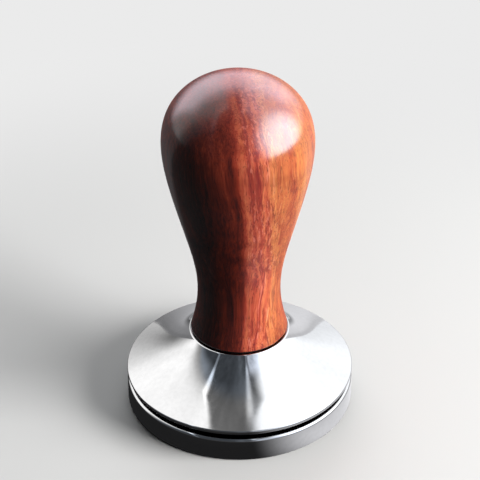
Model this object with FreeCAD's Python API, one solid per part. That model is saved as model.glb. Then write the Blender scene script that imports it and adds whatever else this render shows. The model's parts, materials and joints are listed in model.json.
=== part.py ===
"""Espresso tamper: a turned hardwood handle on a polished steel piston with a trumpet-shaped back.

The handle unscrews from the piston. A set screw is locked in the piston's tapped neck, and a
flanged brass insert in the handle's foot runs on it. A thin washer is bonded under the foot.

Frame: millimetres, +Z up the tamper's axis, origin at the centre of the flat tamping face.
Every threaded piece uses the same helix phase, so all threads are in mesh at rest.
Profiles are (radius, height) points, turned about Z.
"""

import FreeCAD
import Part
import math
import os

Vector = FreeCAD.Vector

# ---------------------------------------------------------------- piston
PISTON_R = 58.0 / 2
EDGE_CHAMFER = 0.35        # break on the tamping face's edge
LEDGE_Z = 6.5              # ledge above the piston wall
LEDGE_ROUND = 0.8
GROOVE_FLOOR_R = 54.0 / 2
GROOVE_ROUND = 0.25        # rounds in the groove's corners
LIP_UNDER_Z = 8.1          # underside of the rim lip
RIM_Z = 9.2                # top of the lip before its edge is rounded
LIP_ROUND_LOW = 0.3
LIP_ROUND_TOP = 0.35
RIM_SLOPE_DEG = 24.0       # slope of the trumpet back where it meets the rim
NECK_R = 12.9              # at the handle seat, before its edge is rounded
NECK_Z = 20.5              # handle seat height
NECK_ROUND = 0.4
NECK_SLOPE_DEG = 60.0      # slope of the trumpet back where it meets the neck's round
# Inner control poles of the trumpet back (radius, height); the rounds give the end poles
BACK_POLES = [
    (26.584, 10.153), (22.731, 11.960), (18.519, 14.402), (15.191, 17.058), (13.508, 19.154),
]

# ---------------------------------------------------------------- M8 x 1.25 threads
PITCH = 1.25
THREAD_PHASE_Z = 5.9       # height of the helix at angle 0
FLANK_DEG = 30.0           # half of the thread angle
MALE_ROOT_R, MALE_CREST_R, MALE_PITCH_R = 3.20, 3.93, 3.54
FEMALE_MINOR_R, FEMALE_MAJOR_R, FEMALE_PITCH_R = 3.38, 4.06, 3.65
MALE_OVERLAP = 0.15        # how far the ridge sinks into the screw's core
FEMALE_OVERLAP = 0.13      # how far the cutting ridge reaches inside the hole's wall

# ---------------------------------------------------------------- tapped hole in the piston
HOLE_BOTTOM_Z = 7.2        # full-diameter depth
DRILL_POINT_DEG = 31.0     # slope of the hole's conical bottom
RELIEF_TOP_Z = 8.9         # thread relief at the bottom of the hole
RELIEF_R = 4.15
RELIEF_TAPER = 0.45        # height of the relief's tapered ends
HOLE_MOUTH_R = 4.5         # countersink at the neck's top
HOLE_MOUTH_DEPTH = 1.1
TAP_START = 0.6            # thread start above the hole's bottom
CUT_OVERSHOOT = 1.0        # how far cutters pass the face they open

# ---------------------------------------------------------------- set screw
SCREW_LENGTH = 28.0
SCREW_BOTTOM_Z = 7.7
SCREW_TOP_Z = SCREW_BOTTOM_Z + SCREW_LENGTH
SCREW_CHAMFER = 0.75       # height of the end chamfers
SCREW_BOTTOM_INSET = 0.25  # bottom end's radius below the thread root
SCREW_TOP_INSET = 0.1      # top end's radius below the thread root
SCREW_CREST_CLEAR = 0.02   # keeps the trimming blank outside the crests
SCREW_OVERRUN = 1.5        # extra thread past each end before trimming
SOCKET_AF = 4.0            # hexagon socket across flats
SOCKET_DEPTH = 4.6
SOCKET_CONE_R = 1.9        # drilled cone below the hexagon
SOCKET_CONE_DEPTH = 1.0
SOCKET_CONE_OVERLAP = 0.2
SOCKET_LEAD_R = 2.05       # tapered mouth of the socket, at its lower end
SOCKET_LEAD_TOP_R = 2.45
SOCKET_LEAD_DEPTH = 0.25
SOCKET_LEAD_OVERSHOOT = 0.05

# ---------------------------------------------------------------- washer
WASHER_T = 0.35
WASHER_OUTER_R = 23.2 / 2
WASHER_BORE_R = 9.4 / 2
WASHER_CHAMFER = 0.1

# ---------------------------------------------------------------- insert
FOOT_Z = NECK_Z + WASHER_T
INSERT_LENGTH = 14.0
INSERT_TOP_Z = FOOT_Z + INSERT_LENGTH
FLANGE_R = 8.4
FLANGE_TOP_Z = FOOT_Z + 1.0
FLANGE_CHAMFER = 0.2
INSERT_BODY_R = 5.60
INSERT_TOP_CHAMFER_R = 0.5   # same on radius and height
BORE_CHAMFER_LOW = 0.85
BORE_CHAMFER_TOP = 0.7
INSERT_OVERRUN = 1.3         # extra thread past each end of the bore
BARB_R = 6.0
BARB_COUNT = 5
BARB_SPACING = 2.3
BARB_START = 0.8             # first barb above the flange
# Heights on a barb above its foot: crest start, crest end, end of the taper
BARB_CREST_LOW, BARB_CREST_TOP, BARB_END = 0.25, 0.55, 1.6

# ---------------------------------------------------------------- handle
FOOT_ROUND = 0.45
FOOT_FLAT_FACTOR = 0.9         # share of the round taken off the foot's flat
FOOT_ARC_INSET = 0.10          # point midway on the foot's arc, in from the foot edge
FOOT_ARC_RISE = 0.16           # and its height above the foot
FOOT_EDGE = (12.27, 21.38)     # where the foot's arc meets the turned profile
# Control poles of the handle's turned profile (radius, height)
HANDLE_POLES = [
    FOOT_EDGE, (10.60, 27.01), (9.86, 36.17), (13.01, 48.46), (17.17, 63.20),
    (19.59, 76.76), (15.91, 87.38), (6.48, 92.20), (0.0, 92.20),
]
COUNTERBORE_R = FLANGE_R + 0.1
HANDLE_BORE_R = BARB_R
HANDLE_BORE_TOP_Z = INSERT_TOP_Z + 0.4
BORE_TAPER = 0.8               # height of the taper above the insert's bore
SCREW_CLEAR_R = 4.4            # clearance hole for the screw's end
SCREW_CLEAR_TOP_Z = SCREW_TOP_Z + 1.6
SCREW_CLEAR_POINT = 2.3        # height of the clearance hole's conical end


# ---------------------------------------------------------------- helpers
def point(radius, z):
    return Vector(radius, 0, z)


def polygon_face(vectors):
    return Part.Face(Part.makePolygon(vectors + [vectors[0]]))


def turn(face):
    """Full revolution of an XZ face about Z."""
    return face.revolve(Vector(0, 0, 0), Vector(0, 0, 1), 360)


def turn_edges(edges):
    return turn(Part.Face(Part.Wire(Part.__sortEdges__(edges))))


def turn_polygon(outline):
    return turn(polygon_face([point(*p) for p in outline]))


def line(start, end):
    return Part.makeLine(point(*start), point(*end))


def arc_through(start, middle, end):
    return Part.Arc(point(*start), point(*middle), point(*end)).toShape()


def round_arc(centre, radius, start_deg, end_deg):
    """Arc about a centre in the XZ plane. Returns (edge, start, end)."""
    def at(degrees):
        angle = math.radians(degrees)
        return (centre[0] + radius * math.cos(angle), centre[1] + radius * math.sin(angle))

    start, middle, end = at(start_deg), at((start_deg + end_deg) / 2.0), at(end_deg)
    return arc_through(start, middle, end), start, end


def spline(control_points):
    """Edge of the clamped uniform cubic B-spline with these control poles."""
    poles = [point(*p) for p in control_points]
    spans = len(poles) - 3
    multiplicities = [4] + [1] * (spans - 1) + [4]
    knots = [float(k) for k in range(spans + 1)]
    curve = Part.BSplineCurve()
    curve.buildFromPolesMultsKnots(poles, multiplicities, knots, False, 3)
    return curve.toShape()


def thread_ridge(z_from, z_to, pitch_r, inner_r, outer_r):
    """Solid helical ridge in whole turns that cover the two heights, sewn from helicoids."""
    def half_width(radius):
        return PITCH / 4.0 - (radius - pitch_r) * math.tan(math.radians(FLANK_DEG))

    inner_w, outer_w = half_width(inner_r), half_width(outer_r)
    corners = [(inner_r, -inner_w), (outer_r, -outer_w), (outer_r, outer_w), (inner_r, inner_w)]
    first = int(math.floor((z_from - THREAD_PHASE_Z) / PITCH))
    last = int(math.ceil((z_to - THREAD_PHASE_Z) / PITCH))
    faces = []
    for k in range(first, last):
        turn_z = THREAD_PHASE_Z + k * PITCH
        helices = []
        for radius, offset in corners:
            helix = Part.makeHelix(PITCH, PITCH, radius).Edges[0]
            helix.translate(Vector(0, 0, turn_z + offset))
            helices.append(helix)
        for i in range(4):
            faces.append(Part.makeRuledSurface(helices[i], helices[(i + 1) % 4]))
    for k in (first, last):
        end_z = THREAD_PHASE_Z + k * PITCH
        faces.append(polygon_face([point(radius, end_z + offset) for radius, offset in corners]))
    shell = Part.makeCompound(faces)
    shell.sewShape(1e-5)
    ridge = Part.Solid(shell.Shells[0])
    if ridge.Volume < 0:
        ridge.reverse()
    return ridge


def female_ridge(z_from, z_to):
    """Ridge that cuts the internal thread."""
    return thread_ridge(z_from, z_to, FEMALE_PITCH_R, FEMALE_MINOR_R - FEMALE_OVERLAP,
                        FEMALE_MAJOR_R)


def save(shape, name):
    solids = shape.Solids
    assert solids, name
    shape = solids[0] if len(solids) == 1 else Part.makeCompound(solids)
    assert shape.isValid(), name
    shape.exportStep("parts/%s.step" % name)


# ---------------------------------------------------------------- pieces
def piston_blank():
    """Face, wall, groove, lip and trumpet back, followed from the axis outwards and up."""
    groove_x = GROOVE_FLOOR_R + GROOVE_ROUND
    # centre, radius, start and end angle; straight lines join each round to the next
    rounds = [
        ((PISTON_R - LEDGE_ROUND, LEDGE_Z - LEDGE_ROUND), LEDGE_ROUND, 0, 90),
        ((groove_x, LEDGE_Z + GROOVE_ROUND), GROOVE_ROUND, 270, 180),
        ((groove_x, LIP_UNDER_Z - GROOVE_ROUND), GROOVE_ROUND, 180, 90),
        ((PISTON_R - LIP_ROUND_LOW, LIP_UNDER_Z + LIP_ROUND_LOW), LIP_ROUND_LOW, 270, 360),
        ((PISTON_R - LIP_ROUND_TOP, RIM_Z - LIP_ROUND_TOP), LIP_ROUND_TOP,
         0, 90 - RIM_SLOPE_DEG),
    ]
    face_edge = (PISTON_R - EDGE_CHAMFER, 0)
    last_end = (PISTON_R, EDGE_CHAMFER)
    edges = [line((0, 0), face_edge), line(face_edge, last_end)]
    for centre, radius, start_deg, end_deg in rounds:
        arc, start, end = round_arc(centre, radius, start_deg, end_deg)
        edges += [line(last_end, start), arc]
        last_end = end
    neck_arc, neck_start, neck_end = round_arc(
        (NECK_R - NECK_ROUND, NECK_Z - NECK_ROUND), NECK_ROUND, 90 - NECK_SLOPE_DEG, 90)
    edges += [
        spline([last_end] + BACK_POLES + [neck_start]), neck_arc,
        line(neck_end, (0, NECK_Z)), line((0, NECK_Z), (0, 0)),
    ]
    return turn_edges(edges)


def piston_base():
    point_depth = FEMALE_MINOR_R * math.tan(math.radians(DRILL_POINT_DEG))
    cut_top = NECK_Z + CUT_OVERSHOOT
    drill = turn_polygon([
        (0, HOLE_BOTTOM_Z - point_depth), (FEMALE_MINOR_R, HOLE_BOTTOM_Z),
        (RELIEF_R, HOLE_BOTTOM_Z + RELIEF_TAPER), (RELIEF_R, RELIEF_TOP_Z - RELIEF_TAPER),
        (FEMALE_MINOR_R, RELIEF_TOP_Z), (FEMALE_MINOR_R, NECK_Z - HOLE_MOUTH_DEPTH),
        (HOLE_MOUTH_R, NECK_Z), (HOLE_MOUTH_R, cut_top), (0, cut_top),
    ])
    return piston_blank().cut(drill).cut(female_ridge(HOLE_BOTTOM_Z + TAP_START, cut_top))


def set_screw():
    """Threaded rod with chamfered ends and a hexagon socket in its top."""
    core = Part.makeCylinder(MALE_ROOT_R, SCREW_LENGTH, Vector(0, 0, SCREW_BOTTOM_Z))
    ridge = thread_ridge(SCREW_BOTTOM_Z - SCREW_OVERRUN, SCREW_TOP_Z + SCREW_OVERRUN,
                         MALE_PITCH_R, MALE_ROOT_R - MALE_OVERLAP, MALE_CREST_R)
    blank_r = MALE_CREST_R + SCREW_CREST_CLEAR
    blank = turn_polygon([
        (0, SCREW_BOTTOM_Z), (MALE_ROOT_R - SCREW_BOTTOM_INSET, SCREW_BOTTOM_Z),
        (blank_r, SCREW_BOTTOM_Z + SCREW_CHAMFER), (blank_r, SCREW_TOP_Z - SCREW_CHAMFER),
        (MALE_ROOT_R - SCREW_TOP_INSET, SCREW_TOP_Z), (0, SCREW_TOP_Z),
    ])
    screw = core.fuse(ridge).common(blank)

    floor_z = SCREW_TOP_Z - SOCKET_DEPTH
    corner_r = SOCKET_AF / math.sqrt(3)
    angles = [math.radians(60 * i) for i in range(6)]
    hexagon = [Vector(corner_r * math.cos(a), corner_r * math.sin(a), floor_z) for a in angles]
    socket = polygon_face(hexagon).extrude(Vector(0, 0, SOCKET_DEPTH + CUT_OVERSHOOT))
    cone_top = floor_z + SOCKET_CONE_OVERLAP
    cone = turn_polygon([
        (0, floor_z - SOCKET_CONE_DEPTH), (SOCKET_CONE_R, floor_z),
        (SOCKET_CONE_R, cone_top), (0, cone_top),
    ])
    lead_low, lead_top = SCREW_TOP_Z - SOCKET_LEAD_DEPTH, SCREW_TOP_Z + SOCKET_LEAD_OVERSHOOT
    lead = turn_polygon([
        (0, lead_low), (SOCKET_LEAD_R, lead_low), (SOCKET_LEAD_TOP_R, lead_top), (0, lead_top),
    ])
    return screw.cut(socket).cut(cone).cut(lead)


def foot_washer():
    """Washer with its outer edges chamfered."""
    flat_r = WASHER_OUTER_R - WASHER_CHAMFER
    return turn_polygon([
        (WASHER_BORE_R, NECK_Z), (flat_r, NECK_Z), (WASHER_OUTER_R, NECK_Z + WASHER_CHAMFER),
        (WASHER_OUTER_R, FOOT_Z - WASHER_CHAMFER), (flat_r, FOOT_Z), (WASHER_BORE_R, FOOT_Z),
    ])


def handle_insert():
    """Flanged, tapped insert with annular barbs."""
    outline = [
        (FEMALE_MINOR_R + BORE_CHAMFER_LOW, FOOT_Z), (FLANGE_R - FLANGE_CHAMFER, FOOT_Z),
        (FLANGE_R, FOOT_Z + FLANGE_CHAMFER), (FLANGE_R, FLANGE_TOP_Z),
        (INSERT_BODY_R, FLANGE_TOP_Z),
    ]
    for i in range(BARB_COUNT):
        z = FLANGE_TOP_Z + BARB_START + i * BARB_SPACING
        outline += [(INSERT_BODY_R, z), (BARB_R, z + BARB_CREST_LOW),
                    (BARB_R, z + BARB_CREST_TOP), (INSERT_BODY_R, z + BARB_END)]
    outline += [
        (INSERT_BODY_R, INSERT_TOP_Z - INSERT_TOP_CHAMFER_R),
        (INSERT_BODY_R - INSERT_TOP_CHAMFER_R, INSERT_TOP_Z),
        (FEMALE_MINOR_R + BORE_CHAMFER_TOP, INSERT_TOP_Z),
        (FEMALE_MINOR_R, INSERT_TOP_Z - BORE_CHAMFER_TOP),
        (FEMALE_MINOR_R, FOOT_Z + BORE_CHAMFER_LOW),
    ]
    tap = female_ridge(FOOT_Z - INSERT_OVERRUN, INSERT_TOP_Z + INSERT_OVERRUN)
    return turn_polygon(outline).cut(tap)


def handle_grip():
    """Turned handle, bored from the foot for the insert and the screw's end."""
    flat_r = FOOT_EDGE[0] - FOOT_ROUND * FOOT_FLAT_FACTOR
    arc_middle = (FOOT_EDGE[0] - FOOT_ARC_INSET, FOOT_Z + FOOT_ARC_RISE)
    grip = turn_edges([
        line((0, FOOT_Z), (flat_r, FOOT_Z)),
        arc_through((flat_r, FOOT_Z), arc_middle, FOOT_EDGE),
        spline(HANDLE_POLES),
        line(HANDLE_POLES[-1], (0, FOOT_Z)),
    ])
    cut_low = FOOT_Z - CUT_OVERSHOOT
    bore = turn_polygon([
        (0, cut_low), (COUNTERBORE_R, cut_low), (COUNTERBORE_R, FLANGE_TOP_Z),
        (HANDLE_BORE_R, FLANGE_TOP_Z), (HANDLE_BORE_R, HANDLE_BORE_TOP_Z),
        (SCREW_CLEAR_R, HANDLE_BORE_TOP_Z + BORE_TAPER), (SCREW_CLEAR_R, SCREW_CLEAR_TOP_Z),
        (0, SCREW_CLEAR_TOP_Z + SCREW_CLEAR_POINT),
    ])
    return grip.cut(bore)


os.makedirs("parts", exist_ok=True)
for build in (piston_base, set_screw, foot_washer, handle_insert, handle_grip):
    save(build(), build.__name__)
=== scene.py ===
"""A turned hand tool standing upright on the floor.

A grooved steel piston lies at the bottom, with a varnished wooden handle above it. A set screw,
a brass insert and a fibre washer come from the CAD. The axis is +Z, with the piston's flat face at
z = 0. The camera stands on the -Y side, so +X is its right.
"""
import json
import math

import bmesh
import bpy
import numpy as np
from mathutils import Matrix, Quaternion, Vector


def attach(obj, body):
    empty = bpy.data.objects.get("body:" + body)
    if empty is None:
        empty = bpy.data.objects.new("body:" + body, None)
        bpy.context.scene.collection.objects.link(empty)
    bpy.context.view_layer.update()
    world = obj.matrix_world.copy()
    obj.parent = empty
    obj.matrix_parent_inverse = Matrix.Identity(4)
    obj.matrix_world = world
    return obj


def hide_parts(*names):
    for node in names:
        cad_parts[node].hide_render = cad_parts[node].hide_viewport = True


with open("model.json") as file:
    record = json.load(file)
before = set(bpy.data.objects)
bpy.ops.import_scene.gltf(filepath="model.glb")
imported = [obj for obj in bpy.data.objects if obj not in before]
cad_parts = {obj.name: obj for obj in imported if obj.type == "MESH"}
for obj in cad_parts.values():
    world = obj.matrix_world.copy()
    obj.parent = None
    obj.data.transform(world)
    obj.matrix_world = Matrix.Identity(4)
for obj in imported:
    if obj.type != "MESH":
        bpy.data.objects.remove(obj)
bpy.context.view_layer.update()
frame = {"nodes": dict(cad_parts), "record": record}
BODY_OF = {
    node: body
    for body, nodes in frame["record"]["behaviour"]["bodies"].items()
    for node in nodes
}

MM = 0.001                      # metres in a millimetre; the turned pieces are drawn in mm
COLUMNS = 384                   # columns round every turned surface
TURN = 2 * math.pi


def add_object(name, data):
    ob = bpy.data.objects.new(name, data)
    bpy.context.scene.collection.objects.link(ob)
    return ob


def stand_in(ob, node):
    """Let ob take the place and body of a CAD node."""
    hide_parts(node)
    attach(ob, BODY_OF[node])


# ------------------------------------------------------------------ turned meshes
class Turned:
    """Watertight body of revolution with exact normals.

    The outline runs from the axis, round the section and back, with the material on its left.
    Its points are (r, z, radial normal, axial normal).
    """

    def __init__(self):
        self.angles = np.arange(COLUMNS) * 2 * math.pi / COLUMNS
        self.cos = np.cos(self.angles)
        self.sin = np.sin(self.angles)
        self.vertices = []
        self.faces = []
        self.normals = []       # per face: one normal per corner, or None for the face's own

    def ring(self, r, z):
        """Vertex index for each column. A ring on the axis is a single vertex."""
        first = len(self.vertices)
        if abs(r) < 1e-9:
            self.vertices.append((0.0, 0.0, z))
            return [first] * COLUMNS
        self.vertices.extend((r * c, r * s, z) for c, s in zip(self.cos, self.sin))
        return list(range(first, first + COLUMNS))

    def band(self, lower, upper, lower_normal, upper_normal):
        """Faces from one ring to the next along the outline."""
        for i in range(COLUMNS):
            j = (i + 1) % COLUMNS
            corners = {}
            for ring, (radial, axial), column in (
                (lower, lower_normal, i), (lower, lower_normal, j),
                (upper, upper_normal, j), (upper, upper_normal, i),
            ):
                normal = (radial * self.cos[column], radial * self.sin[column], axial)
                corners.setdefault(ring[column], normal)
            self.faces.append(list(corners))
            self.normals.append(list(corners.values()))

    def outline(self, stretches, ring=None):
        """Turn stretches of outline, each beginning where the last ended; returns the last ring."""
        for stretch in stretches:
            if ring is None:
                ring = self.ring(*stretch[0][:2])
            for here, there in zip(stretch, stretch[1:]):
                following = self.ring(*there[:2])
                self.band(ring, following, here[2:], there[2:])
                ring = following
        return ring

    def thread(self, low_ring, low_z, high_ring, high_z, pitch, phase, radius, offsets):
        """Internal helical grid between two plain rings, its rows following the thread's edges."""
        first_turn = int(math.floor((low_z - pitch - phase) / pitch)) - 1
        last_turn = int(math.ceil((high_z - phase) / pitch)) + 1
        rows = [phase + turn * pitch + offset
                for turn in range(first_turn, last_turn) for offset in offsets]
        grid = []
        for i, angle in enumerate(self.angles):
            column = []
            for row in rows:
                z = row + pitch * angle / TURN
                if z <= low_z + 1e-4:
                    column.append(low_ring[i])
                elif z >= high_z - 1e-4:
                    column.append(high_ring[i])
                else:
                    r = radius(angle, z)
                    self.vertices.append((r * self.cos[i], r * self.sin[i], z))
                    column.append(len(self.vertices) - 1)
            grid.append(column)
        top = len(rows) - 1
        for i in range(COLUMNS):
            here, there = grid[i], grid[(i + 1) % COLUMNS]
            # the last column meets the first one a whole turn higher
            shift = len(offsets) if i == COLUMNS - 1 else 0
            for k in range(top):
                beside, above = min(k + shift, top), min(k + 1 + shift, top)
                loop = list(dict.fromkeys((here[k], there[beside], there[above], here[k + 1])))
                if len(loop) >= 3:
                    self.faces.append(loop[::-1])
                    self.normals.append(None)

    def build(self, name, node):
        mesh = bpy.data.meshes.new(name)
        mesh.from_pydata([(x * MM, y * MM, z * MM) for x, y, z in self.vertices], [], self.faces)
        mesh.validate(clean_customdata=False)
        mesh.polygons.foreach_set("use_smooth", [True] * len(mesh.polygons))
        mesh.update()
        normals = []
        for polygon, given in zip(mesh.polygons, self.normals):
            normals.extend(given or [tuple(polygon.normal)] * polygon.loop_total)
        mesh.normals_split_custom_set(normals)
        ob = add_object(name, mesh)
        stand_in(ob, node)
        return ob


# ------------------------------------------------------------------ stretches of outline
def line(start, finish, parts=1):
    """Straight stretch, its normal to the right of the way it runs."""
    dr, dz = finish[0] - start[0], finish[1] - start[1]
    length = math.hypot(dr, dz)
    normal = (dz / length, -dr / length)
    return [(start[0] + dr * k / parts, start[1] + dz * k / parts) + normal
            for k in range(parts + 1)]


def polyline(start, *stations):
    """Straight stretches through stations (r, z, parts)."""
    stretches = []
    for r, z, parts in stations:
        stretches.append(line(start, (r, z), parts))
        start = (r, z)
    return stretches


def arc(centre, radius, start, finish, parts):
    """Arc between angles in degrees: a rising angle is a convex corner, a falling one concave."""
    sign = 1.0 if finish > start else -1.0
    points = []
    for k in range(parts + 1):
        angle = math.radians(start + (finish - start) * k / parts)
        cos, sin = math.cos(angle), math.sin(angle)
        points.append((centre[0] + radius * cos, centre[1] + radius * sin, sign * cos, sign * sin))
    return points


def arc_through(start, middle, finish, parts):
    """Convex arc through three points."""
    start, middle, finish = (np.array(point) for point in (start, middle, finish))
    chords = 2 * np.array([middle - start, finish - middle])
    squares = [middle @ middle - start @ start, finish @ finish - middle @ middle]
    centre = np.linalg.solve(chords, squares)
    angles = [math.degrees(math.atan2(z, r)) for r, z in (start - centre, finish - centre)]
    return arc(centre, math.hypot(*(start - centre)), *angles, parts)


def joined(start, *curves):
    """Curves with a straight stretch leading to each."""
    stretches = []
    for curve in curves:
        stretches += [line(start, curve[0][:2]), curve]
        start = curve[-1][:2]
    return stretches


def spline(poles, count):
    """Clamped uniform cubic B-spline in count steps of equal length."""
    pole_count, degree = len(poles), 3
    inner = np.linspace(0, 1, pole_count - degree + 1)
    knots = np.concatenate([[0] * degree, inner, [1] * degree])
    at = np.linspace(0, 1, 6001)
    basis = np.zeros((len(at), len(knots) - 1))
    for i in range(len(knots) - 1):
        if knots[i] < knots[i + 1]:
            basis[:, i] = (at >= knots[i]) & (at < knots[i + 1])
    basis[-1, pole_count - 1] = 1
    for d in range(1, degree + 1):
        raised = np.zeros_like(basis)
        for i in range(len(knots) - 1 - d):
            rising, falling = knots[i + d] - knots[i], knots[i + d + 1] - knots[i + 1]
            if rising > 0:
                raised[:, i] += (at - knots[i]) / rising * basis[:, i]
            if falling > 0:
                raised[:, i] += (knots[i + d + 1] - at) / falling * basis[:, i + 1]
        basis = raised
    curve = basis[:, :pole_count] @ np.array(poles)
    travelled = np.concatenate([[0], np.cumsum(np.hypot(*np.diff(curve, axis=0).T))])
    steps = np.linspace(0, travelled[-1], count + 1)
    r, z = (np.interp(steps, travelled, axis) for axis in curve.T)
    dr, dz = (np.interp(steps, travelled, np.gradient(axis, travelled)) for axis in curve.T)
    length = np.hypot(dr, dz)
    points = list(zip(r, z, dz / length, -dr / length))
    if poles[-1][0] == 0.0:
        points[-1] = (0.0, poles[-1][1], 0.0, 1.0)
    return points


# ------------------------------------------------------------------ piston (mm, degrees)
RADIUS = 29.0
EDGE = 0.35                     # chamfer round the bottom face
WALL_TOP = 6.5                  # top of the lower wall, and lower side of the groove
LEDGE_ROUND = 0.8
GROOVE_R = 27.0                 # bottom of the groove
GROOVE_ROUND = 0.25
LIP_UNDER = 8.1                 # upper side of the groove
LIP_LOW_ROUND, LIP_TOP_ROUND = 0.3, 0.35
RIM_Z = 9.2
RIM_SLOPE = 24.0                # slope of the back where it leaves the rim
NECK_R, NECK_Z, NECK_ROUND = 12.9, 20.5, 0.4
NECK_SLOPE = 60.0               # slope of the back where it meets the neck
# inner poles (r, z) of the back, from rim to neck
BACK_POLES = [(26.584, 10.153), (22.731, 11.960), (18.519, 14.402), (15.191, 17.058),
              (13.508, 19.154)]

PITCH, PHASE = 1.25, 5.9        # PHASE is the height of a groove's middle at angle 0
MINOR_R, MAJOR_R, PITCH_R = 3.38, 4.06, 3.65
FLANK_TAN = math.tan(math.radians(30))
MOUTH_R, MOUTH_DEPTH = 4.5, 1.1
MOUTH_LOW = NECK_Z - MOUTH_DEPTH
HOLE_Z = 7.2                    # where the conical end of the hole begins
HOLE_END_ANGLE = 31
RELIEF_R, RELIEF_TOP = 4.15, 8.9
RELIEF_CONE = 0.45              # height of the cones at both ends of the relief
THREAD_HIGH_R = MAJOR_R + 0.03  # plain rings just outside the major radius bound the thread
THREAD_LOW_R = MAJOR_R + 0.02


def flank_offset(radius):
    """Height above a thread groove's middle at which its flank has this radius."""
    return PITCH / 4 - (radius - PITCH_R) * FLANK_TAN


def thread_offsets():
    """Rows of one pitch, from one groove's middle towards the next."""
    major, minor = flank_offset(MAJOR_R), flank_offset(MINOR_R)
    rising = [major, (major + minor) / 2, minor]
    return [0.0, *rising, PITCH / 2, *(PITCH - offset for offset in reversed(rising))]


def bore_radius(angle, z):
    """Threaded hole, opened by the mouth chamfer and the relief's upper cone."""
    if z > MOUTH_LOW:
        plain = MINOR_R + (MOUTH_R - MINOR_R) * (z - MOUTH_LOW) / MOUTH_DEPTH
    elif z < RELIEF_TOP:
        plain = MINOR_R + (RELIEF_R - MINOR_R) * (RELIEF_TOP - z) / RELIEF_CONE
    else:
        plain = MINOR_R
    off = (z - PHASE - PITCH * angle / TURN) % PITCH
    off = min(off, PITCH - off)
    tapped = PITCH_R + (PITCH / 4 - off) / FLANK_TAN
    return max(plain, min(max(tapped, MINOR_R), MAJOR_R))


def make_piston():
    turned = Turned()
    ledge = arc((RADIUS - LEDGE_ROUND, WALL_TOP - LEDGE_ROUND), LEDGE_ROUND, 0, 90, 12)
    groove_r = GROOVE_R + GROOVE_ROUND
    groove_low = arc((groove_r, WALL_TOP + GROOVE_ROUND), GROOVE_ROUND, 270, 180, 6)
    groove_high = arc((groove_r, LIP_UNDER - GROOVE_ROUND), GROOVE_ROUND, 180, 90, 6)
    lip_low = arc((RADIUS - LIP_LOW_ROUND, LIP_UNDER + LIP_LOW_ROUND), LIP_LOW_ROUND, 270, 360, 8)
    lip_top = arc((RADIUS - LIP_TOP_ROUND, RIM_Z - LIP_TOP_ROUND), LIP_TOP_ROUND,
                  0, 90 - RIM_SLOPE, 8)
    neck = arc((NECK_R - NECK_ROUND, NECK_Z - NECK_ROUND), NECK_ROUND, 90 - NECK_SLOPE, 90, 8)
    back = spline([lip_top[-1][:2]] + BACK_POLES + [neck[0][:2]], 72)
    mouth_share = (THREAD_HIGH_R - MINOR_R) / (MOUTH_R - MINOR_R)
    thread_high = MOUTH_LOW + MOUTH_DEPTH * mouth_share
    high_ring = turned.outline([
        *polyline((0, 0), (RADIUS - EDGE, 0, 7), (RADIUS, EDGE, 1), (*ledge[0][:2], 3)),
        ledge,
        *joined(ledge[-1][:2], groove_low, groove_high, lip_low, lip_top),
        back,
        neck,
        *polyline(neck[-1][:2], (MOUTH_R, NECK_Z, 4), (THREAD_HIGH_R, thread_high, 1)),
    ])

    cone_low = RELIEF_TOP - RELIEF_CONE
    cone_share = (RELIEF_R - THREAD_LOW_R) / (RELIEF_R - MINOR_R)
    thread_low = cone_low + RELIEF_CONE * cone_share
    low_ring = turned.ring(THREAD_LOW_R, thread_low)
    turned.thread(low_ring, thread_low, high_ring, thread_high,
                  PITCH, PHASE, bore_radius, thread_offsets())
    hole_end = HOLE_Z - MINOR_R * math.tan(math.radians(HOLE_END_ANGLE))
    turned.outline(polyline(
        (THREAD_LOW_R, thread_low),
        (RELIEF_R, cone_low, 1),
        (RELIEF_R, HOLE_Z + RELIEF_CONE, 1),
        (MINOR_R, HOLE_Z, 1),
        (0, hole_end, 2),
    ), low_ring)
    return turned.build("piston", "piston_base")


# ------------------------------------------------------------------ handle (mm)
FOOT_Z = 20.85
FOOT_EDGE = 0.405               # width of the rounded edge
FOOT_MIDDLE = (0.10, 0.16)      # a point on that edge: in from the side, up from the foot
# poles (r, z) of the side, from foot to crown
SIDE_POLES = [(12.27, 21.38), (10.60, 27.01), (9.86, 36.17), (13.01, 48.46), (17.17, 63.20),
              (19.59, 76.76), (15.91, 87.38), (6.48, 92.20), (0.0, 92.20)]
COUNTERBORE_R, COUNTERBORE_DEPTH = 8.5, 1.0
BORE_R, BORE_TOP, BORE_CONE = 6.0, 35.25, 0.8
NARROW_R, NARROW_TOP, NARROW_CONE = 4.4, 37.3, 2.3


def make_handle():
    turned = Turned()
    side_r = SIDE_POLES[0][0]
    foot_r = side_r - FOOT_EDGE
    counterbore_top = FOOT_Z + COUNTERBORE_DEPTH
    middle = (side_r - FOOT_MIDDLE[0], FOOT_Z + FOOT_MIDDLE[1])
    turned.outline([
        *polyline(
            (0, NARROW_TOP + NARROW_CONE),
            (NARROW_R, NARROW_TOP, 2),
            (NARROW_R, BORE_TOP + BORE_CONE, 1),
            (BORE_R, BORE_TOP, 1),
            (BORE_R, counterbore_top, 4),
            (COUNTERBORE_R, counterbore_top, 1),
            (COUNTERBORE_R, FOOT_Z, 1),
            (foot_r, FOOT_Z, 2),
        ),
        arc_through((foot_r, FOOT_Z), middle, SIDE_POLES[0], 8),
        spline(SIDE_POLES, 230),
    ])
    return turned.build("handle_wood", "handle_grip")


piston = make_piston()
handle = make_handle()


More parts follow.
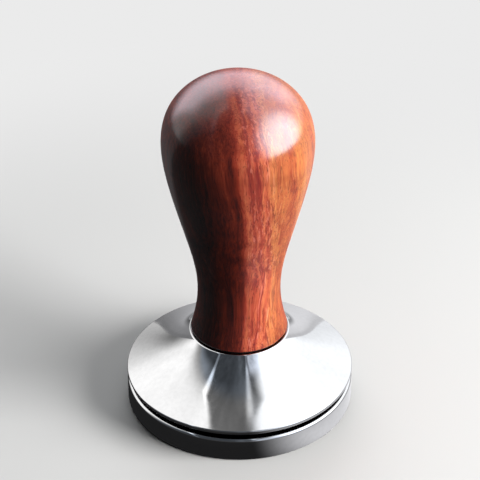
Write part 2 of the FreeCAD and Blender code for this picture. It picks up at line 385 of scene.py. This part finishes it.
# ------------------------------------------------------------------ shader nodes
class Value:
    """Output of a shader node. Arithmetic on it adds Math nodes."""

    def __init__(self, net, socket):
        self.net = net
        self.socket = socket

    def __add__(self, other):
        return self.net.math("ADD", self, other)

    def __radd__(self, other):
        return self.net.math("ADD", other, self)

    def __sub__(self, other):
        return self.net.math("SUBTRACT", self, other)

    def __rsub__(self, other):
        return self.net.math("SUBTRACT", other, self)

    def __mul__(self, other):
        return self.net.math("MULTIPLY", self, other)

    def __truediv__(self, other):
        return self.net.math("DIVIDE", self, other)

    def __abs__(self):
        return self.net.math("ABSOLUTE", self)

    def at_least(self, other):
        return self.net.math("MAXIMUM", self, other)

    def at_most(self, other):
        return self.net.math("MINIMUM", self, other)

    def ease(self, start, end, before, after):
        """Smooth change from before to after as this value goes from start to end."""
        return self.net.add("ShaderNodeMapRange", {
            "Value": self, "From Min": start, "From Max": end, "To Min": before, "To Max": after,
        }, interpolation_type="SMOOTHSTEP")

    def rise(self, start, end):
        return self.ease(start, end, before=0.0, after=1.0)

    def fall(self, start, end):
        return self.ease(start, end, before=1.0, after=0.0)


class Net:
    """Node tree of a material or world, emptied and built up again."""

    def __init__(self, owner):
        owner.use_nodes = True
        self.owner = owner
        self.tree = owner.node_tree
        self.tree.nodes.clear()

    def put(self, socket, value):
        if isinstance(value, Value):
            value = value.socket
        if isinstance(value, bpy.types.NodeSocket):
            self.tree.links.new(value, socket)
        elif socket.type == "RGBA":
            socket.default_value = (*value, 1.0)
        else:
            socket.default_value = value

    def node(self, kind, inputs=(), **properties):
        """Inputs are a list in socket order or a dictionary by name or index."""
        node = self.tree.nodes.new(kind)
        for name, value in properties.items():
            setattr(node, name, value)
        for key, value in inputs.items() if isinstance(inputs, dict) else enumerate(inputs):
            self.put(node.inputs[key], value)
        return node

    def add(self, kind, inputs=(), output=0, **properties):
        return Value(self, self.node(kind, inputs, **properties).outputs[output])

    def math(self, operation, *values):
        return self.add("ShaderNodeMath", values, operation=operation)

    def vector_math(self, operation, *values, output=0):
        return self.add("ShaderNodeVectorMath", values, output, operation=operation)

    def length(self, vector):
        return self.vector_math("LENGTH", vector, output="Value")

    def vector(self, *axes):
        return self.add("ShaderNodeCombineXYZ", axes)

    def stretched(self, axes, factors):
        """Vector of the axes, each times its own factor."""
        return self.vector(*(axis * factor for axis, factor in zip(axes, factors)))

    def split(self, vector):
        return [Value(self, socket)
                for socket in self.node("ShaderNodeSeparateXYZ", [vector]).outputs]

    def noise(self, vector=None, w=None, scale=1.0, detail=2.0, rough=0.5):
        """3D noise at a vector, or 1D noise at w."""
        where = {"Vector": vector} if w is None else {"W": w}
        return self.add("ShaderNodeTexNoise", {
            **where, "Scale": scale, "Detail": detail, "Roughness": rough,
        }, noise_dimensions="3D" if w is None else "1D")

    def ramp(self, value, stops, mode="LINEAR"):
        """Colour ramp through stops (position, colour)."""
        node = self.node("ShaderNodeValToRGB", [value])
        node.color_ramp.interpolation = mode
        elements = node.color_ramp.elements
        while len(elements) > 1:
            elements.remove(elements[-1])
        elements[0].position = stops[0][0]
        elements[0].color = (*stops[0][1], 1.0)
        for position, color in stops[1:]:
            elements.new(position).color = (*color, 1.0)
        return Value(self, node.outputs[0])

    def mix(self, amount, first, second, mode="MIX"):
        # sockets 6 and 7 and output 2 are the colour ones
        return self.add("ShaderNodeMix", {0: amount, 6: first, 7: second}, 2,
                        data_type="RGBA", blend_type=mode)

    def tinted(self, amount, color, tint):
        """Color multiplied by tint, as far as amount."""
        return self.mix(amount, color, self.mix(1.0, color, tint, "MULTIPLY"))

    def mix_shader(self, amount, first, second):
        return self.add("ShaderNodeMixShader", [amount, first, second])

    def bump(self, height, strength, distance):
        return self.add("ShaderNodeBump", {
            "Strength": strength, "Distance": distance, "Height": height})

    def point(self):
        """The point in the piece's own frame, in millimetres."""
        position = self.add("ShaderNodeTexCoord", output="Object")
        return self.add("ShaderNodeVectorMath", {0: position, "Scale": 1000.0}, operation="SCALE")

    def finish(self, kind, shader):
        self.node(kind, {"Surface": shader})
        return self.owner

    def principled(self, inputs):
        shader = self.add("ShaderNodeBsdfPrincipled", inputs)
        return self.finish("ShaderNodeOutputMaterial", shader)


def new_material(name):
    return Net(bpy.data.materials.new(name))


def lathe_coordinates(net):
    """Point, height, radius, and a coordinate across the turning lines."""
    point = net.point()
    x, y, z = net.split(point)
    radius = net.math("SQRT", x * x + y * y)
    return point, z, radius, radius + z * 0.77


# ------------------------------------------------------------------ materials
# painted shade: colour for the bottom of the groove, where the recess lies in shadow
GROOVE_SHADE = (0.05, 0.045, 0.042)


def steel_material(name, rough, lines, tint, groove_shade=False):
    """Turned stainless steel. lines is the strength of the turning lines."""
    net = new_material(name)
    point, z, radius, along = lathe_coordinates(net)
    fine = net.noise(w=along, scale=7.0, detail=3.0, rough=0.7)
    broad = net.noise(w=along, scale=0.9, detail=2.0, rough=0.5)
    smudge = net.noise(point, scale=0.11, detail=4.0, rough=0.6)
    haze = net.noise(point, scale=0.9, detail=2.0, rough=0.5)
    roughness = rough - 0.02 + smudge.rise(0.42, 0.68) * 0.05 + (fine - 0.5) * (0.05 * lines)
    color = net.mix(haze.rise(0.3, 0.75), tint, tuple(c * 0.955 for c in tint))
    if groove_shade:
        # painted shade: the bottom of the groove is darkened in colour, where the recess lies in shadow
        edge = RADIUS - LEDGE_ROUND + 0.1
        within = radius.fall(edge - 0.15, edge + 0.15) * radius.rise(20.0, 21.0)
        above = z.rise(WALL_TOP - 0.1, WALL_TOP - 0.05)
        below = z.fall(LIP_UNDER + 0.05, LIP_UNDER + 0.1)
        color = net.mix(within * (above * below), color, GROOVE_SHADE)
    return net.principled({
        "Roughness": roughness.at_least(0.03),
        "Base Color": color,
        "Metallic": 1.0,
        "Anisotropic": 0.35,
        "Tangent": net.add("ShaderNodeTangent", direction_type="RADIAL", axis="Z"),
        "Normal": net.bump(fine * 0.6 + broad * 1.6, strength=0.35 * lines, distance=0.0000035),
    })


# growth zones (position across the blank, tone): dark heart, red veins, orange sapward side
WOOD_ZONES = [
    (0.00, 0.30), (0.16, 0.20), (0.28, 0.24), (0.40, 0.26), (0.46, 0.30), (0.49, 0.58),
    (0.515, 0.70), (0.54, 0.48), (0.56, 0.76), (0.585, 0.50), (0.61, 0.84), (0.635, 0.62),
    (0.66, 0.84), (0.71, 0.68), (0.79, 0.58), (0.87, 0.76), (1.0, 0.54),
]
# (tone, colour)
WOOD_COLORS = [
    (0.22, (0.016, 0.004, 0.004)), (0.36, (0.062, 0.009, 0.007)), (0.47, (0.145, 0.018, 0.009)),
    (0.58, (0.265, 0.036, 0.016)), (0.70, (0.385, 0.082, 0.032)), (0.84, (0.470, 0.138, 0.047)),
    (0.97, (0.555, 0.200, 0.072)),
]
FLECK_COLOR, PORE_COLOR = (0.070, 0.010, 0.006), (0.016, 0.004, 0.003)
# the pale dash colour is a painted glint of the varnish; the dark dash colour is grain
GLINT_DASH, DARK_DASH = (0.640, 0.260, 0.150), (0.150, 0.014, 0.009)
# the crown tint paints shade onto the upward-facing crown
CURL_TINT, CROWN_SHADE_TINT = (0.78, 0.74, 0.72), (0.66, 0.56, 0.62)
GOLDEN_TINT, RUDDY_TINT = (0.97, 1.13, 0.86), (1.08, 0.86, 1.0)
GLINT_SHIFT = (37.0, 11.0, 5.0)  # moves the painted glint dashes off the dark ones


def wood_material():
    """Varnished wood, its grain running up the handle. Noise is stretched per axis, per mm."""
    net = new_material("varnished_rosewood")
    point = net.point()
    x, y, z = axes = net.split(point)
    # across is the place in the grain; its wander makes the streaks drift and fork
    slow = net.noise(net.stretched(axes, (0.05, 0.05, 0.020)), detail=3.0, rough=0.5)
    quick = net.noise(net.stretched(axes, (0.35, 0.35, 0.085)), detail=3.0, rough=0.55)
    across = x + y * 0.16 + (slow - 0.5) * 9.0 + (quick - 0.5) * 2.2
    # the heart narrows towards the top
    across = across + z.ease(40.0, 88.0, before=0.0, after=2.6)
    zone = net.ramp((across + 20.0) * 0.025,
                    [(place, (tone,) * 3) for place, tone in WOOD_ZONES], "CARDINAL")
    grain = (across, y, z)
    veins = net.noise(net.stretched(grain, (0.62, 0.18, 0.014)), detail=5.0, rough=0.62)
    streak = net.noise(net.stretched(grain, (2.1, 1.7, 0.045)), detail=4.0, rough=0.6)
    tone = zone * 0.62 + veins * 0.55 + (streak - 0.5) * 0.46
    lift = z.ease(60.0, 84.0, before=0.0, after=0.075)
    tone = tone + lift * across.ease(-4.0, 4.0, before=1.0, after=0.25)
    color = net.ramp(tone, WOOD_COLORS)
    # curl: a soft light and dark ripple across the grain
    curl = net.noise(net.stretched(axes, (0.10, 0.10, 0.26)), detail=2.0)
    color = net.tinted(curl.rise(0.35, 0.7), color, CURL_TINT)
    # open pores: short dark dashes along the grain, dots where they meet the surface end on
    pore = net.noise(net.stretched(axes, (5.2, 5.2, 0.24)), detail=1.5, rough=0.5)
    pore = pore.rise(0.60, 0.69)
    fleck = net.noise(net.stretched(axes, (2.9, 2.9, 0.12)), detail=2.0, rough=0.6)
    fleck = fleck.rise(0.56, 0.70)
    color = net.mix(fleck * 0.50, color, FLECK_COLOR)
    # broken dark red dashes of grain, and pale dashes that are painted glints of the varnish, thickest
    # where the heart gives way to the sapward side
    middle = across.rise(-1.0, 1.5) * across.ease(6.0, 10.0, before=1.0, after=0.25)
    dash_place = net.stretched(grain, (1.35, 0.9, 0.075))
    dash = net.noise(dash_place, detail=3.0, rough=0.62).rise(0.52, 0.60)
    glint_place = net.vector_math("ADD", dash_place, GLINT_SHIFT)
    painted_glint = net.noise(glint_place, detail=3.0, rough=0.62).rise(0.55, 0.64)
    # painted highlight: the pale dashes stand in for glints on the varnish
    color = net.mix(painted_glint * middle * 0.42, color, GLINT_DASH)
    color = net.mix(dash * middle * 0.72, color, DARK_DASH)
    color = net.mix(pore * 0.62, color, PORE_COLOR)
    # the middle is the reddest, the sapward side turns golden
    golden = across.rise(4.0, 10.0)
    ruddy = across.rise(-3.0, 0.5) * across.fall(4.0, 8.0)
    color = net.tinted(golden, color, GOLDEN_TINT)
    color = net.tinted(ruddy, color, RUDDY_TINT)
    # painted shade: the crown is darker where it faces upward
    upward = net.split(net.add("ShaderNodeTexCoord", output="Normal"))[2]
    color = net.tinted(upward.rise(0.35, 0.95), color, CROWN_SHADE_TINT)
    relief = streak * 0.35 - (pore + fleck * 0.4)
    # varnish flows over the pores, so only a trace of them and a slow ripple show in its surface
    facing = net.add("ShaderNodeLayerWeight", {"Blend": 0.5}, "Facing")
    wave = net.noise(point, scale=0.16, detail=2.0, rough=0.4)
    peel = net.noise(point, scale=1.1, detail=1.0, rough=0.4)
    coat_relief = wave * 3.0 + (peel * 0.12 + pore * -0.10)
    return net.principled({
        "Base Color": color,
        "Roughness": 0.42 + streak * 0.16,
        "IOR": 1.45,
        "Specular IOR Level": 0.06,
        "Normal": net.bump(relief, strength=0.55, distance=0.00006),
        "Coat Weight": facing.ease(0.42, 0.90, before=1.0, after=0.22),
        "Coat IOR": 1.5,
        "Coat Roughness": 0.15 + wave.rise(0.4, 0.7) * 0.05,
        "Coat Normal": net.bump(coat_relief, strength=0.30, distance=0.00005),
    })


BRASS_LIGHT, BRASS_DARK = (0.80, 0.58, 0.25), (0.68, 0.46, 0.19)


def brass_material():
    net = new_material("turned_brass")
    point, _, _, along = lathe_coordinates(net)
    fine = net.noise(w=along, scale=5.0, detail=3.0, rough=0.7)
    patch = net.noise(point, scale=0.35, detail=3.0)
    return net.principled({
        "Base Color": net.mix(patch.rise(0.35, 0.7), BRASS_LIGHT, BRASS_DARK),
        "Metallic": 1.0,
        "Roughness": 0.20 + fine * 0.16,
        "Normal": net.bump(fine, strength=0.5, distance=0.000006),
    })


FIBRE_DARK, FIBRE_LIGHT = (0.026, 0.013, 0.011), (0.052, 0.025, 0.021)


def fibre_material():
    net = new_material("black_fibre_washer")
    mottle = net.noise(net.point(), scale=2.4, detail=4.0, rough=0.65)
    return net.principled({
        "Base Color": net.mix(mottle, FIBRE_DARK, FIBRE_LIGHT),
        "Roughness": 0.5 + mottle * 0.3,
        "Normal": net.bump(mottle, strength=0.5, distance=0.00003),
    })


def set_material(ob, mat):
    if not ob.data.materials:
        ob.data.materials.append(mat)
        return
    for i in range(len(ob.data.materials)):
        ob.data.materials[i] = mat
        ob.material_slots[i].material = mat


def make_screw():
    """The CAD screw without its zero-area triangle, at the apex of the socket's drill point."""
    screw = add_object("threaded_screw", frame["nodes"]["set_screw"].data.copy())
    bm = bmesh.new()
    bm.from_mesh(screw.data)
    flat = [face for face in bm.faces if face.calc_area() < 1e-16]
    bmesh.ops.delete(bm, geom=flat, context="FACES_ONLY")
    bm.to_mesh(screw.data)
    bm.free()
    stand_in(screw, "set_screw")
    return screw


set_material(piston, steel_material("polished_stainless", rough=0.07, lines=1.0,
                                    tint=(0.62, 0.62, 0.625), groove_shade=True))
set_material(handle, wood_material())
set_material(make_screw(), steel_material("screw_stainless", rough=0.22, lines=0.5,
                                          tint=(0.60, 0.60, 0.62)))
set_material(frame["nodes"]["handle_insert"], brass_material())
set_material(frame["nodes"]["foot_washer"], fibre_material())


# ------------------------------------------------------------------ floor (metres)
BACKDROP = (0.83, 0.83, 0.83)   # the paper behind the object, as the camera sees it
FLOOR_ALBEDO = (0.585, 0.595, 0.600)
BOUNCE_ALBEDO = (0.06, 0.06, 0.062)
FLOOR_RADII = [0.05, 0.1, 0.2, 0.35, 0.6, 1.0, 1.6, 2.6, 5.0]
FLOOR_COLUMNS = 96
FLOOR_DROP = 0.00002            # keeps the floor clear of the piston's face


def paper_material():
    net = new_material("paper")
    position = net.add("ShaderNodeNewGeometry", output="Position")
    distance = net.length(position)
    path = net.node("ShaderNodeLightPath")
    seen = net.mix_shader(
        distance.rise(0.08, 0.19),
        net.add("ShaderNodeBsdfDiffuse", {"Color": FLOOR_ALBEDO}),
        net.add("ShaderNodeEmission", {"Color": BACKDROP}),
    )
    # reflections see a floor that glows instead of taking the light: mostly dark round the object, like
    # a bar mat, and darkest closest to it as painted shade, with a painted pool of light on its +X
    # side, and white behind it, where the worktop begins
    x, y, _ = net.split(position)
    # painted pool of light on the +X side, seen only in reflections
    near = x.rise(0.004, 0.024) * distance.ease(0.030, 0.044, before=0.95, after=0.30)
    near = near + 0.02 + distance.rise(0.032, 0.060) * 0.05
    rear = y.rise(0.034, 0.060) * x.ease(-0.05, 0.04, before=0.32, after=0.98)
    rear = rear * distance.ease(0.10, 0.30, before=1.0, after=0.80)
    shade = near.at_least(rear)
    unseen = net.mix_shader(
        path.outputs["Is Glossy Ray"],
        net.add("ShaderNodeBsdfDiffuse", {"Color": BOUNCE_ALBEDO}),
        # the floor glows with this painted light for reflections
        net.add("ShaderNodeEmission", {"Color": net.vector(shade, shade, shade * 1.03)}),
    )
    surface = net.mix_shader(path.outputs["Is Camera Ray"], unseen, seen)
    return net.finish("ShaderNodeOutputMaterial", surface)


def make_floor():
    count = FLOOR_COLUMNS
    vertices = [(0, 0, 0)]
    for radius in FLOOR_RADII:
        vertices += [(radius * math.cos(TURN * i / count), radius * math.sin(TURN * i / count), 0)
                     for i in range(count)]
    faces = [(0, 1 + i, 1 + (i + 1) % count) for i in range(count)]
    for k in range(len(FLOOR_RADII) - 1):
        inner = 1 + k * count
        outer = inner + count
        faces += [(inner + i, outer + i, outer + (i + 1) % count, inner + (i + 1) % count)
                  for i in range(count)]
    mesh = bpy.data.meshes.new("floor")
    mesh.from_pydata(vertices, [], faces)
    floor = add_object("floor", mesh)
    floor.location.z = -FLOOR_DROP
    mesh.materials.append(paper_material())


make_floor()


# ------------------------------------------------------------------ lights (metres)
CENTRE = (0, 0, 0.045)          # the middle of the object
SHEEN_TARGET = (0, 0, 0.07)
LAYER_GAP = 0.002               # between the stacked layers of a sheen
COOL, ROSY, PINK, LILAC = (0.60, 1.05, 1.20), (0.95, 0.92, 1.06), (1.05, 0.86, 0.98), (0.85, 0.80, 1.06)
# name, direction, distance, shape, layers of (width, height, radiance, colour)
SHEENS = [
    ("key_sheen", (0.898, -0.270, 0.345), 1.0, "DISK", [
        (0.80, 0.80, 3.0, COOL), (1.20, 1.20, 3.8, COOL),
        (1.55, 1.55, 3.4, COOL), (1.90, 1.90, 1.5, ROSY)]),
    ("back_sheen", (-0.10, 0.86, 0.50), 1.2, "RECTANGLE", [
        (2.2, 0.8, 1.2, PINK), (2.6, 1.15, 1.1, PINK), (3.0, 1.6, 0.8, PINK)]),
    ("crown_haze", (0.66, 0.30, 0.69), 1.3, "DISK", [
        (1.3, 1.3, 1.1, LILAC), (2.1, 2.1, 1.1, LILAC)]),
]


def unit(vector):
    vector = np.array(vector, float)
    return vector / np.linalg.norm(vector)


def area(name, toward, distance, size, radiance, color=(1, 1, 1), target=CENTRE):
    """Soft panel facing the target. It lights, but reflections see the world's cloth instead."""
    data = bpy.data.lights.new(name, "AREA")
    data.shape = "RECTANGLE"
    data.size, data.size_y = size
    data.energy = radiance * math.pi * size[0] * size[1]
    data.color = color
    light = add_object(name, data)
    light.location = Vector(target) + Vector(unit(toward)) * distance
    facing = (Vector(target) - light.location).to_track_quat("-Z", "Y")
    light.rotation_euler = facing.to_euler()
    light.visible_glossy = False
    light.visible_camera = False
    return light


def sheen(name, toward, distance, shape, size, radiance, color):
    """Panel seen only in the handle's varnish."""
    light = area(name, toward, distance, size, radiance, color, SHEEN_TARGET)
    light.data.shape = shape
    if shape == "DISK":
        light.data.energy *= math.pi / 4
    light.visible_glossy = True
    light.visible_diffuse = False
    receivers = bpy.data.collections.new(name + "_receivers")
    receivers.objects.link(handle)
    light.light_linking.receiver_collection = receivers


area("key", toward=(0.90, -0.33, 0.31), distance=0.75, size=(0.52, 0.52), radiance=20.0,
     color=(1.0, 0.975, 0.95))
area("top", toward=(0.10, 0.25, 1.0), distance=0.9, size=(0.9, 0.9), radiance=1.1)
area("back", toward=(-0.15, 1.0, 0.42), distance=0.9, size=(0.8, 0.5), radiance=4.0)
for name, toward, distance, shape, layers in SHEENS:
    for k, (width, height, radiance, color) in enumerate(layers):
        sheen(f"{name}_{k}", toward, distance + LAYER_GAP * k, shape, (width, height),
              radiance, color)


# ------------------------------------------------------------------ world, seen in reflections
TENT = 1.62                     # radiance of full white cloth
KEY_DIRECTION = (0.815, -0.355, 0.458)
KEY_RADIANCE = 1.1
# dark spots on the left cloth: side, depth, reach, strength
DARK_SPOTS = [(-0.50, 0.87, 0.34, 0.72), (-0.86, 0.76, 0.42, 0.55)]
WARM_WHITE, COOL_WHITE = (1.0, 0.997, 0.99), (0.86, 0.97, 1.12)
RIGHT_WHITE, RIGHT_COOL = (0.975, 1.0, 1.03), (0.90, 0.98, 1.13)


def soft_panel(net, sky, toward, half_width, half_height, soft, radiance):
    """Soft-edged rectangle of light; half sizes and edge softness in degrees."""
    centre = unit(toward)
    across = unit(np.cross((0, 0, 1), centre))
    upward = np.cross(centre, across)

    def dot(axis):
        return net.vector_math("DOT_PRODUCT", sky, tuple(axis), output="Value")

    def mask(axis, half):
        edges = (math.tan(math.radians(half + side * soft)) for side in (-1, 1))
        return abs(dot(axis) / ahead).fall(*edges)

    ahead = dot(centre).at_least(0.02)
    inside = mask(across, half_width) * mask(upward, half_height)
    return inside * (dot(centre).rise(0.0, 0.05) * radiance)


def bell(value, flat, reach):
    """1 within flat of zero, falling to 0 at reach."""
    return abs(value).fall(flat, reach)


def make_world():
    """A white tent in two halves, with a dark gap between them that opens towards the camera."""
    world = bpy.data.worlds.new("studio")
    bpy.context.scene.world = world
    net = Net(world)
    sky = net.add("ShaderNodeTexCoord", output="Generated")
    x, y, z = net.split(sky)
    # sky map: zenith at (0, 0), horizon on the unit circle, side along +X and depth along +Y;
    # front is the distance towards the camera
    shrink = z.at_least(-0.6) + 1.0
    side, depth = x / shrink, y / shrink
    front = (depth * -1.0).at_least(0.0)
    tent = z.rise(-0.12, -0.02)
    cloud = net.noise(sky, scale=2.2, detail=3.0, rough=0.55)
    patch = net.noise(net.stretched((side, depth), (16.0, 5.0)), detail=3.0, rough=0.6)

    # edges of the gap, and a seam inside it near the right edge
    left_edge = -0.198 + depth * 0.534 + (depth + 0.01).at_least(0.0) * 1.3
    left_edge = left_edge.at_most(-0.085)
    seam = 0.045 + depth * -0.157
    right_edge = 0.118 + front * 0.22 + front * front * 0.50 + depth.rise(-0.04, 0.03) * -0.064
    past_left, past_seam, past_right = side - left_edge, side - seam, side - right_edge
    wide = depth.rise(0.06, 0.35)
    off_left = (past_left / (0.016 + wide * 0.05)).rise(-1.0, 1.0)
    on_right = (past_right / (0.022 + front * 0.26 + wide * 0.05)).rise(-1.0, 1.0)
    in_gap = off_left * (1.0 - on_right)

    # left half: white overhead, darker low on the camera's side and greyer at the back
    lean = depth + (side + 0.3) * 0.2
    left = 0.045 + lean.rise(-0.35, -0.10) * 0.20 + lean.rise(-0.13, 0.12) * 0.70
    left = left * depth.ease(0.35, 0.85, before=1.0, after=0.62)
    left = left * (1.0 - past_left.rise(-0.14, -0.02) * front.rise(0.02, 0.10) * 0.4)
    for spot_side, spot_depth, reach, strength in DARK_SPOTS:
        away = net.length(net.vector(side - spot_side, (depth - spot_depth) * 0.85))
        left = left * (1.0 - away.fall(0.02, reach) * strength)
    left = left * cloud.ease(0.30, 0.70, before=0.90, after=1.08)

    right = depth.ease(0.50, 0.95, before=1.06, after=0.76)
    right = right * cloud.ease(0.30, 0.70, before=0.95, after=1.04)

    # inside the gap: near black, with a grey strip past the seam
    dark = 0.045 + depth.rise(-0.20, 0.01) * 0.075
    grey = depth.rise(-0.08, 0.0) * 0.10 + front.rise(0.20, 0.36) * 0.40
    strip = past_seam.rise(0.01, 0.05) * grey
    strip = strip + bell(side - 0.01, 0.0, 0.09) * front.rise(0.06, 0.18) * 0.05
    gap = (dark + strip) * patch.ease(0.30, 0.70, before=0.80, after=1.22)

    # bright lines along the left edge and the seam
    left_line = bell(past_left + 0.004, 0.006, 0.032) * (front.fall(0.12, 0.30) * 0.62 + 0.20)
    left_line = left_line * depth.fall(-0.02, 0.05)
    seam_line = bell(past_seam, 0.005, 0.024) * front.ease(0.30, 0.52, before=0.55, after=0.12)
    seam_line = seam_line * depth.fall(-0.02, 0.04)

    cloth = in_gap * gap + (1.0 - off_left) * left + off_left * on_right * right
    cloth = cloth + left_line + seam_line
    key = soft_panel(net, sky, KEY_DIRECTION, half_width=34, half_height=32, soft=16,
                     radiance=KEY_RADIANCE)
    key = key * (past_right / (0.12 + front * 0.3)).rise(0.0, 1.0)

    chill = front.rise(0.02, 0.14) * (1.0 - off_left * on_right)
    color = net.mix(chill.at_most(1.0), WARM_WHITE, COOL_WHITE)
    right_color = net.mix(front.rise(0.10, 0.40), RIGHT_WHITE, RIGHT_COOL)
    color = net.mix(past_seam.rise(-0.03, 0.02), color, right_color)
    strength = tent * (cloth * TENT + key)
    net.finish("ShaderNodeOutputWorld", net.mix_shader(
        net.add("ShaderNodeLightPath", output="Is Camera Ray"),
        net.add("ShaderNodeBackground", {"Color": color, "Strength": strength}),
        net.add("ShaderNodeBackground", {"Color": BACKDROP}),
    ))
    world.cycles_visibility.diffuse = False
    world.cycles.sampling_method = "MANUAL"
    world.cycles.sample_map_resolution = 1024


make_world()


# ------------------------------------------------------------------ camera and render
CAMERA_ELEVATION = math.radians(33.73)
CAMERA_DISTANCE = 0.5
CAMERA_AIM = (0, 0, 0.0467)
CAMERA_ROLL = math.radians(-0.43)
LENS = 150.768                  # focal length in mm


def make_camera():
    data = bpy.data.cameras.new("camera")
    data.sensor_width = 36.0
    data.lens = LENS
    data.shift_x = 0.0028
    data.clip_start, data.clip_end = 0.01, 20.0
    camera = add_object("camera", data)
    toward = Vector((0, -math.cos(CAMERA_ELEVATION), math.sin(CAMERA_ELEVATION)))
    camera.location = Vector(CENTRE) + toward * CAMERA_DISTANCE
    facing = (Vector(CAMERA_AIM) - camera.location).to_track_quat("-Z", "Y")
    camera.rotation_euler = (facing @ Quaternion((0, 0, 1), CAMERA_ROLL)).to_euler()
    bpy.context.scene.camera = camera


make_camera()
scene = bpy.context.scene
scene.cycles.caustics_reflective = False
scene.cycles.caustics_refractive = False
scene.view_settings.view_transform = "Standard"
scene.view_settings.look = "None"
scene.view_settings.exposure = 0.0
scene.view_settings.gamma = 1.0
